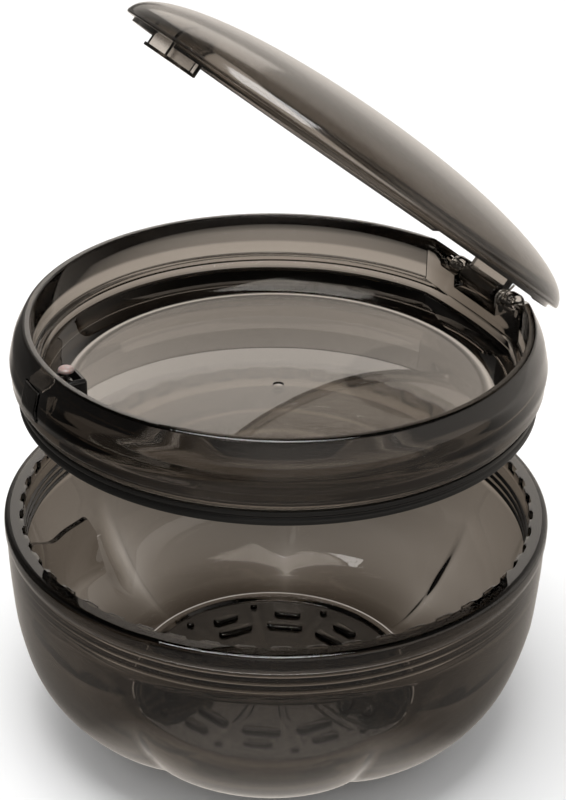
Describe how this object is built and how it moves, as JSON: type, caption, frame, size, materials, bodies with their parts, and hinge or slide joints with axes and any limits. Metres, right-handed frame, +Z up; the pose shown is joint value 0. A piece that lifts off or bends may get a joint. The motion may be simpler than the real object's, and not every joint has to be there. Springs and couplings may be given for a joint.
{
  "type": "denture case",
  "caption": "Round soaking case for dentures or aligners: a fluted bowl, a shallow tray that seats in its mouth, and a domed lid on a sprung hinge with a push-button latch.",
  "frame": {"origin": "centre of the base pad's underside, on the surface that the case stands on", "axes": "+Z up; +Y from the case's centre towards the hinge, -Y towards the latch and its push button; +X along the hinge pin"},
  "size_m": [0.11, 0.11, 0.1512],
  "materials": {
    "smoke_plastic_bowl": "clear smoke-tinted copolyester, polished mould",
    "smoke_plastic_tray": "clear smoke-tinted copolyester, polished mould",
    "smoke_plastic_lid": "clear smoke-tinted copolyester, polished mould",
    "smoke_plastic_button": "smoke-tinted acetal, smooth",
    "black_silicone_pad": "black silicone, matt",
    "black_silicone_seal": "black silicone, satin",
    "black_plastic": "black acetal, smooth",
    "steel_pin": "bright stainless steel",
    "spring_steel": "drawn stainless spring wire",
    "pink_nylon": "translucent pinkish-beige nylon"
  },
  "bodies": {
    "bowl": {"bowl": "smoke_plastic_bowl", "base_pad": "black_silicone_pad"},
    "tray": {"tray_body": "smoke_plastic_tray", "tray_seal": "black_silicone_seal", "hinge_pin": "steel_pin", "hinge_spring": "spring_steel", "latch_housing": "black_plastic", "button_spring": "spring_steel"},
    "lid": {"lid_shell": "smoke_plastic_lid"},
    "button": {"push_button": "smoke_plastic_button", "catch_stud": "steel_pin", "stud_cap": "pink_nylon"}
  },
  "joints": [
    {"name": "tray_lift", "type": "slide", "parent": "bowl", "child": "tray", "axis": [0, 0, 1], "range_m": [-0.03, 0.02]},
    {"name": "lid_hinge", "type": "hinge", "parent": "tray", "child": "lid", "pos_m": [0, 0.04745, 0.08614], "axis": [1, 0, 0], "range_deg": [0, 39], "stiffness_Nm_per_rad": 0.006, "springref_deg": -143.24},
    {"name": "button_press", "type": "slide", "parent": "tray", "child": "button", "axis": [0, 1, 0], "range_m": [0, 0.0012], "stiffness_N_per_m": 800, "springref_m": -0.0006, "deforming": ["button_spring"]}
  ]
}
